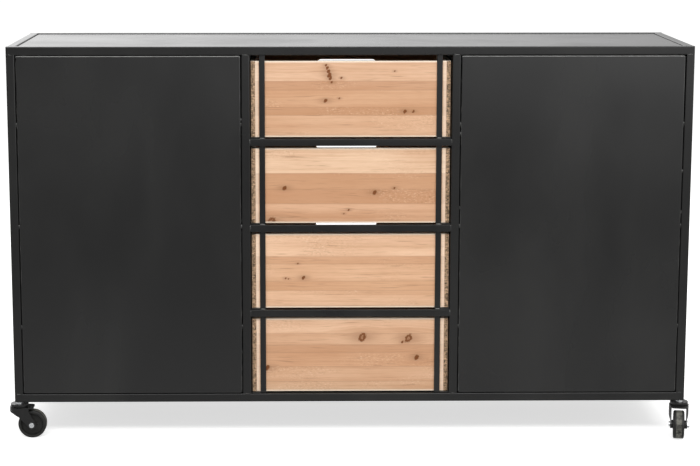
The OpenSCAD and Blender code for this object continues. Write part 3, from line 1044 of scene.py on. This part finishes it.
class SIDEBOARD_OT_door_fittings(bpy.types.Operator):
    """Ease and paint the hinges, pins and handles, and finish the door catches"""

    bl_idname = "sideboard.door_fittings"
    bl_label = "Hinges, handles and catches"

    def execute(self, context):
        eased = look("steel").eased
        casters = look("casters")
        for _, door in DOORS:
            handle = door.replace("door", "handle")
            dressed(door + "_hinges", "painted_", door, "black_paint", black_paint(), eased * 0.5)
            dressed(handle, "painted_", door, "black_paint", black_paint(), eased * 1.6, 3)
        dressed("hinge_pins", "painted_", "cabinet", "black_paint", black_paint(), eased * 0.5)
        plastic = stock("moulded_plastic", moulded, casters.plastic, casters.dust, 0.06, 0.42)
        dressed("door_catches", "moulded_", "cabinet", "catch_plastic", plastic, eased)
        finish(catch_magnets(), "cabinet", (), [bright_zinc()])
        return {"FINISHED"}


# ---- Drawers ----

# Laths of the back boards, from the bottom up: (top edge as a share of the height, display colour)
BACK_LATHS = {
    1: [(0.296, (214, 172, 139)), (0.40, (190, 145, 111)), (0.63, (206, 162, 128)),
        (0.745, (197, 153, 121)), (1, (221, 182, 151))],
    2: [(0.267, (213, 169, 136)), (0.461, (191, 143, 108)), (0.671, (196, 150, 115)), (1, (230, 195, 163))],
    3: [(0.24, (229, 187, 153)), (0.371, (210, 164, 128)), (0.603, (226, 183, 148)),
        (0.702, (206, 160, 125)), (1, (234, 194, 161))],
    4: [(0.144, (212, 172, 139)), (0.346, (215, 173, 140)), (0.5425, (206, 159, 124)),
        (0.647, (200, 154, 120)), (0.80, (219, 177, 144)), (1, (229, 188, 155))],
}
# Knots of the back boards: (distance from the middle, height over the board's edge, radius), in millimetres
BACK_KNOTS = {
    1: [(-52, 152, 2.6), (-49, 146, 3.3), (-47, 139, 4.0), (-45, 131, 5.2), (-43, 124, 4.0), (-40, 116, 2.6),
        (-20, 125, 2.4), (-53, 77, 4.2), (-24, 82, 1.8), (92, 139, 1.6), (114, 54, 4.0), (132, 54, 2.8)],
    2: [(-140, 75, 4.7), (51, 65.5, 4.6), (-168, 3, 9.2), (93, 75, 2.4), (-4, 28, 2.2), (-14, 20, 1.6)],
    3: [(-100, 65.5, 4.0), (-138, 64, 2.0), (-132, 63, 1.6), (-112, 96, 1.8)],
    4: [(26, 119, 9.0), (125, 116, 8.4), (143, 74, 5.4), (-178, 52, 5.4), (112, 108, 3.0)],
}
# Laths of the front boards and the side boards, which follow the same rule
FRONT_LATHS = {
    1: [(0.34, (214, 170, 134)), (0.62, (231, 190, 156)), (1, (209, 161, 125))],
    2: [(0.22, (206, 159, 122)), (0.55, (224, 181, 146)), (0.81, (213, 168, 132)), (1, (233, 193, 160))],
    3: [(0.41, (229, 187, 153)), (0.70, (211, 165, 128)), (1, (222, 179, 144))],
    4: [(0.30, (219, 175, 140)), (0.52, (204, 157, 121)), (0.84, (227, 185, 151)), (1, (214, 169, 133))],
}
FRONT_KNOTS = {
    1: [(-118, 48, 3.6), (96, 124, 2.4)],
    2: [(64, 38, 4.4)],
    3: [(-152, 112, 3.0), (171, 30, 2.6)],
    4: [(-36, 40, 2.8), (140, 96, 4.2)],
}
SIDE_LATHS = [(0.36, (217, 172, 137)), (0.68, (228, 187, 153)), (1, (209, 163, 128))]


TABLE_FIR = (219, 174, 140)  # the fir's middle tone for which the tables hold, as a display colour


def fir_board(name, node, laths, knots=(), grain_axis=0):
    """The fir of one board, from tables in display colours and millimetres."""
    lowest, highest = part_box(node)
    lift = [new / old for new, old in zip(look("wood").fir, tone(*TABLE_FIR))]
    toned = [(edge, [c * k for c, k in zip(tone(*shade), lift)]) for edge, shade in laths]
    sized = [[size / 1000 for size in knot] for knot in knots]
    height = highest.z - lowest.z
    return stock(name, fir, lowest.z, height, highest[grain_axis], toned, sized, grain_axis)


def sawn_wood():
    return stock("sawn_fir_end", sawn_end, look("wood").end_grain)


def mark_ends(board, axis):
    """Marks a board's two sawn ends."""
    mark_faces(board, lambda face: abs(face.normal[axis]) > 0.9)


def board(name, corner, other, eased):
    """A planed board with eased edges."""
    piece = block(name, corner, other)
    with editing(piece):
        round_edges(piece, eased, 2)
    return piece


HOLD_WIDTH, HOLD_HEIGHT, HOLD_DROP = 0.140, 0.026, 0.029


def hand_hold_cutter(front):
    """A slot with round ends through the front board."""
    lowest, highest = front
    depth = highest.y - lowest.y
    centre = (0, (lowest.y + highest.y) / 2, highest.z - HOLD_DROP - HOLD_HEIGHT / 2)
    cutter = rod("hand_hold", centre, 1, HOLD_HEIGHT / 2, depth * 3, sides=48)
    with editing(cutter):
        for side in (-1, 1):
            choose(cutter, "verts", lambda vert: vert.co.x * side > 1e-5)
            bpy.ops.transform.translate(value=(side * (HOLD_WIDTH - HOLD_HEIGHT) / 2, 0, 0))
    return cutter


def drawer_front(number):
    """The front board with its hand hold, rounded over at both rims."""
    wood = look("wood")
    node = f"drawer_{number}_front"
    lowest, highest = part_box(node)
    front = board("fir_" + node, lowest, highest, wood.eased * 1.4)
    cutter = hand_hold_cutter((lowest, highest))
    modify(front, "BOOLEAN", operation="DIFFERENCE", solver="EXACT", object=cutter)
    bpy.data.objects.remove(cutter)
    hold_z = highest.z - HOLD_DROP - HOLD_HEIGHT / 2

    def on_rim(edge):
        spot = middle(edge)
        on_face = all(min(abs(v.co.y - lowest.y), abs(v.co.y - highest.y)) < 1e-5 for v in edge.verts)
        near = abs(spot.z - hold_z) < HOLD_HEIGHT / 2 + 1e-4 and abs(spot.x) < HOLD_WIDTH / 2 + 1e-4
        turns = len(edge.link_faces) == 2 and edge.calc_face_angle(0) > 1
        return on_face and near and turns

    with editing(front):
        round_edges(front, wood.hold_edge, 4, on_rim)
    mark_ends(front, 0)
    smooth(front)
    face = fir_board(f"fir_front_{number}", node, FRONT_LATHS[number], FRONT_KNOTS[number])
    finish(front, f"drawer_{number}", [node], [face, sawn_wood()])


def drawer_back(number):
    node = f"drawer_{number}_back"
    back = board("fir_" + node, *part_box(node), look("wood").eased)
    smooth(back)
    face = fir_board(f"fir_back_{number}", node, BACK_LATHS[number], BACK_KNOTS[number])
    finish(back, f"drawer_{number}", [node], [face])


def drawer_sides(number):
    """Both side boards. Their sawn ends show beside the back board."""
    node = f"drawer_{number}_sides"
    lowest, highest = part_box(node)
    thick = lowest.x - low(f"drawer_{number}_back").x
    boards = []
    for side in (-1, 1):
        outer, inner = side * highest.x, side * (highest.x + thick)
        corner, other = (outer, lowest.y, lowest.z), (inner, highest.y, highest.z)
        boards.append(board("side", corner, other, look("wood").eased * 1.6))
    sides = joined("fir_" + node, boards)
    mark_ends(sides, 1)
    smooth(sides)
    face = fir_board(f"fir_sides_{number}", node, SIDE_LATHS, (), 1)
    finish(sides, f"drawer_{number}", [node], [face, sawn_wood()])


def drawer_bottom(number):
    node = f"drawer_{number}_bottom"
    bottom = board("ply_" + node, *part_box(node), look("wood").eased * 0.6)
    smooth(bottom)
    finish(bottom, f"drawer_{number}", [node], [stock("birch_ply", plywood, look("wood").ply)])


BRAD_RADIUS, BRAD_LENGTH, BRAD_SUNK = 0.0011, 0.0030, 0.0012
BRAD_INSET = 0.006
BRAD_LEVELS = (0.18, 0.5, 0.82)


def drawer_brads(number):
    """Brads that hold the side boards to the front and back boards, driven just below flush."""
    lowest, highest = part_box(f"drawer_{number}_sides")
    rows = (centre_of(f"drawer_{number}_back").y, low(f"drawer_{number}_front").y - BRAD_INSET)
    height = highest.z - lowest.z
    brads = []
    for side in (-1, 1):
        for depth in rows:
            for share_up in BRAD_LEVELS:
                centre = (side * (highest.x - BRAD_SUNK), depth, lowest.z + share_up * height)
                brad = rod("brad", centre, 0, BRAD_RADIUS, BRAD_LENGTH, sides=10)
                bevel_edges(brad, 0.0003)
                brads.append(brad)
    finish(joined(f"drawer_{number}_brads", brads), f"drawer_{number}", (), [bright_zinc()])


class SIDEBOARD_OT_drawers(bpy.types.Operator):
    """Make the four drawers from fir boards and plywood bottoms"""

    bl_idname = "sideboard.drawers"
    bl_label = "Drawers"

    def execute(self, context):
        for number in DRAWERS:
            drawer_front(number)
            drawer_back(number)
            drawer_sides(number)
            drawer_bottom(number)
            drawer_brads(number)
        return {"FINISHED"}


# ---- Casters ----


# Sizes of a wheel and its stem, which the CAD nodes don't give by themselves
RIB_START, RIB_END, RIB_HALF = 0.0085, 0.0224, 0.0011
WEB = 0.0063
RING = 0.0252
RING_SUNK = 0.004
TREAD_FROM = 0.0292
TREAD_EDGES = (-0.0055, 0.0065)
CAP_LEVELS = (0.0062, 0.01195)


def wheel_place(node):
    """The matrix that takes a wheel modelled round the origin, with its axle on Y, to its caster."""
    centre = centre_of(node + "_wheel")
    trail = centre - centre_of(node + "_stem")
    return moved(*centre) @ turned("Z", math.atan2(trail.y, trail.x))


def wheel_ribs(node, body, rubber):
    """Moulded ribs on both faces of a wheel's web, with a raised ring near the tread."""
    height = look("casters").rib
    side = extent("caster_back_left_wheel").y / 2 - RING_SUNK
    rib = block("rib", (RIB_START, WEB - 0.0004, -RIB_HALF), (RIB_END, WEB + height, RIB_HALF))
    with editing(rib):
        round_edges(rib, height * 0.5, 2, lambda edge: min(v.co.y for v in edge.verts) > WEB)
    bpy.ops.object.select_all(action="DESELECT")
    bpy.ops.mesh.primitive_torus_add(
        major_radius=RING, minor_radius=height, major_segments=72, minor_segments=10,
        rotation=(QUARTER, 0, 0), location=(0, side, 0))
    ring = settle(bpy.context.object)
    with editing(ring):
        choose(ring, "verts", lambda vert: vert.co.y > side + height * 0.5)
        bpy.ops.transform.translate(value=(0, -height * 0.25, 0))
    parts = [ring, rib]
    parts += [copy_of(rib, turned("Y", k * math.tau / 6)) for k in range(1, 6)]
    half = joined("half", parts)
    smooth(half)
    ribs = joined(f"moulded_{node}_ribs", [half, copy_of(half, turned("Z", HALF_TURN))])
    settle(ribs, wheel_place(node))
    finish(ribs, body, (), [rubber])


def wheel(node, body, rubber, tread):
    """The wheel, with its tread marked off in two rows of faces that take the pale tread rubber: partly
    floor dust, and partly painted light on the tread.
    """
    piece = softened(node + "_wheel", f"moulded_{node}_wheel", look("steel").eased * 0.5)
    place = wheel_place(node)
    axle = place.to_3x3() @ Vector(ALONG_Y)
    with editing(piece):
        cut_across(axle, TREAD_EDGES, place.translation)
    smooth(piece)

    def on_tread(face):
        away = face.center - place.translation
        return away.length > TREAD_FROM and abs(away.dot(axle)) < TREAD_EDGES[1] + 0.0002

    mark_faces(piece, on_tread)
    finish(piece, body, [node + "_wheel"], [rubber, tread])


def stem(node):
    """The zinc stem with its nut. Its cap, between two levels over its foot, is painted as the fork is."""
    piece = softened(node + "_stem", f"zinc_{node}_stem", look("steel").eased * 0.6)
    foot = low(node + "_stem").z

    def on_cap(face):
        heights = [piece.data.vertices[k].co.z - foot for k in face.vertices]
        return min(heights) > CAP_LEVELS[0] and max(heights) < CAP_LEVELS[1]

    mark_faces(piece, on_cap)
    finish(piece, "cabinet", [node + "_stem"], [bright_zinc(), fork_paint()])


class SIDEBOARD_OT_casters(bpy.types.Operator):
    """Finish the stems, balls, forks and axles, and mould the wheels"""

    bl_idname = "sideboard.casters"
    bl_label = "Casters"

    def execute(self, context):
        casters = look("casters")
        rubber = stock("moulded_rubber", moulded, casters.rubber, casters.dust, 0.05, 0.50)
        # The tread rubber is laid thick with the dust tone, partly as floor dust and partly as painted light
        # on the tread.
        tread = stock("worn_tread", moulded, casters.rubber, casters.dust, 0.90, 0.62)
        eased = look("steel").eased
        for corner in CASTERS:
            node = "caster_" + corner
            swivel, roll = "swivel_" + corner, "wheel_" + corner
            stem(node)
            dressed(node + "_fork", "painted_", swivel, "fork_paint", fork_paint(), eased, angle=50)
            dressed(node + "_axle", "zinc_", swivel, "zinc_steel", bright_zinc(), eased * 0.8)
            dressed(node + "_balls", "zinc_", swivel, "zinc_steel", bright_zinc())
            wheel(node, roll, rubber, tread)
            wheel_ribs(node, roll, rubber)
        dressed("stem_bushes", "zinc_", "cabinet", "zinc_steel", bright_zinc(), eased * 0.5)
        return {"FINISHED"}


# ---- Welds ----

BEAD = 0.014
SUNK = 0.0017  # depth of a bead's middle in the groove between two tubes
NICK = 0.0003  # how far a bead lies past an edge
LAP = 0.0005
BAR_BELOW = 0.0103  # from a drawer's lower edge to the middle of the bar under it
BAR_EDGE = 0.0078
STOP_HALF = 0.006
SEAM_SUNK = 0.0022
HINGE_INSET, HINGE_TAB, HINGE_HALF, HINGE_PROUD = 0.110, 0.0151, 0.0105, 0.0004
BAR_MIDDLES = [low(f"drawer_{number}_front").z - BAR_BELOW for number in DRAWERS[:-1]]
HINGE_X = CUPBOARD[1] + SEAM / 2
HINGE_LEVELS = (PANEL_LOW + HINGE_INSET, PANEL_HIGH - HINGE_INSET)


def weld_bead():
    """A lumpy bead along X, thick in the middle and run out at both ends."""
    bead = rod("bead", (0, 0, 0), 0, look("steel").bead, BEAD, sides=10)
    with editing(bead):
        cut_across(ALONG_X, steps(-BEAD / 2, BEAD / 2, 13))
    for vert in bead.data.vertices:
        run = abs(vert.co.x) / (BEAD / 2)
        ripple = 1 + 0.14 * math.cos(vert.co.x * 2500) + 0.25 * noise.noise(vert.co * 600)
        vert.co.yz = vert.co.yz * (1 - 0.75 * run ** 5) * ripple
    smooth(bead, 60)
    return bead


def laid(bead, place, axis, size=BEAD, thick=1.0):
    """The bead laid along an axis, stretched to a length, and turned so that no two look alike."""
    turn = {"X": Matrix(), "Y": turned("Z", QUARTER), "Z": turned("Y", QUARTER)}[axis]
    spin = turned("X", 70 * place[0] + 110 * place[2])
    return copy_of(bead, moved(*place) @ turn @ spin @ Matrix.Diagonal((size / BEAD, thick, thick, 1)))


def hinge_bead(bead, side, across, rise):
    """A bead beside a hinge's tab."""
    return laid(bead, (side * across, HALF_DEPTH + HINGE_PROUD, rise), "Z", 0.013, 0.7)


def frame_welds(bead):
    """Beads where the uprights, rails and bars meet, in the grooves that the tubes' round edges leave."""
    beads = []
    for side in (-1, 1):
        corner_x = side * (HALF_WIDTH - TUBE / 2)
        for face in (-1, 1):
            at_face = face * (HALF_DEPTH - SUNK)
            beads += [laid(bead, (side * (BAY + LAP), at_face, height), "Z") for height in BAR_MIDDLES]
            for across in (side * (BAY + TUBE / 2), corner_x):
                for height in (LOW + TUBE - LAP, TOP - TUBE + LAP):
                    beads.append(laid(bead, (across, at_face, height), "X"))
            for height in (TOP - SUNK, LOW + SUNK):
                place = (corner_x, face * (HALF_DEPTH - TUBE + LAP), height)
                beads.append(laid(bead, place, "X", thick=0.6))
            inner = (side * (BAY - NICK), face * (HALF_DEPTH - TUBE / 2), TOP - TUBE - NICK)
            beads.append(laid(bead, inner, "Y"))
        stop_x = side * (high("stop_bars").x - STOP_HALF)
        for height in BAR_MIDDLES:
            for edge in (-BAR_EDGE, BAR_EDGE):
                place = (stop_x, low("stop_bars").y - NICK, height + edge)
                beads.append(laid(bead, place, "X", 0.011, 0.7))
        for height in HINGE_LEVELS:
            beads.append(hinge_bead(bead, side, HINGE_X + HINGE_TAB, height - HINGE_HALF))
    return beads


# Blobs of weld in the seams of the back panels: (distance from the cabinet's middle, height over the
# panels' lower edge, axis that the blob runs along), in millimetres
SEAM_BLOBS = [
    (-236, 727.5, "X"), (233, 727.5, "X"), (243, 727.5, "X"), (640, 727.5, "X"),
    (662, 727.5, "X"), (681, 727.5, "X"), (701, 480, "Z"), (701, 392, "Z"),
    (231, 402, "Z"), (231, 560, "Z"), (-231, 590, "Z"), (-231, 362, "Z"),
]


def tack_welds(bead):
    """Small beads in the seams of the back panels, over the tacks and where a seam was closed by hand."""
    beads = []
    at_face = SEAM_SUNK - HALF_DEPTH
    for side in (-1, 1):
        for across in (CUPBOARD[0] - SEAM / 2, CUPBOARD[1] + SEAM / 2):
            for up in (-0.3, 0, 0.3):
                place = (side * across, at_face, MIDDLE + up * PANEL_HEIGHT)
                beads.append(laid(bead, place, "Z", 0.009, 0.75))
    for across, up, axis in SEAM_BLOBS:
        beads.append(laid(bead, (across / 1000, at_face, PANEL_LOW + up / 1000), axis, 0.007, 0.95))
    return beads


class SIDEBOARD_OT_welds(bpy.types.Operator):
    """Run the weld beads along the joints of the frame, the grid, the seams and the hinges"""

    bl_idname = "sideboard.welds"
    bl_label = "Welds"

    def execute(self, context):
        bead = weld_bead()
        cabinet = joined("painted_frame_welds", frame_welds(bead) + tack_welds(bead))
        # The beads take the paint with the painted highlight, paler where they look up.
        finish(cabinet, "cabinet", (), [edge_highlight_paint()])
        for side, name in DOORS:
            across = HINGE_X - HINGE_TAB
            beads = [hinge_bead(bead, side, across, height + HINGE_HALF) for height in HINGE_LEVELS]
            finish(joined(f"painted_{name}_welds", beads), name, (), [black_paint()])
        bpy.data.objects.remove(bead)
        return {"FINISHED"}


# ---- The panel and the run ----


OPERATORS = (
    SIDEBOARD_OT_stage,
    SIDEBOARD_OT_tubes,
    SIDEBOARD_OT_bars,
    SIDEBOARD_OT_panels,
    SIDEBOARD_OT_plates,
    SIDEBOARD_OT_shelves,
    SIDEBOARD_OT_doors,
    SIDEBOARD_OT_door_fittings,
    SIDEBOARD_OT_drawers,
    SIDEBOARD_OT_casters,
    SIDEBOARD_OT_welds,
)


class SIDEBOARD_PT_pieces(bpy.types.Panel):
    """Lists the sideboard's pieces, sizes and colours"""

    bl_label = "Sideboard"
    bl_idname = "SIDEBOARD_PT_pieces"
    bl_space_type = "VIEW_3D"
    bl_region_type = "UI"
    bl_category = "Sideboard"

    def draw(self, context):
        for operator in OPERATORS:
            self.layout.operator(operator.bl_idname)
        for name, group in LOOKS.items():
            column = self.layout.box().column()
            column.label(text=group.__doc__)
            for key in group.__annotations__:
                column.prop(getattr(context.scene, name), key)


CLASSES = (*LOOKS.values(), *OPERATORS, SIDEBOARD_PT_pieces)


def register():
    for each in CLASSES:
        bpy.utils.register_class(each)
    for name, group in LOOKS.items():
        setattr(bpy.types.Scene, name, bpy.props.PointerProperty(type=group))


def unregister():
    for name in LOOKS:
        delattr(bpy.types.Scene, name)
    for each in reversed(CLASSES):
        bpy.utils.unregister_class(each)


def main():
    register()
    for operator in OPERATORS:
        group, name = operator.bl_idname.split(".")
        getattr(getattr(bpy.ops, group), name)()


if __name__ == "__main__":
    main()
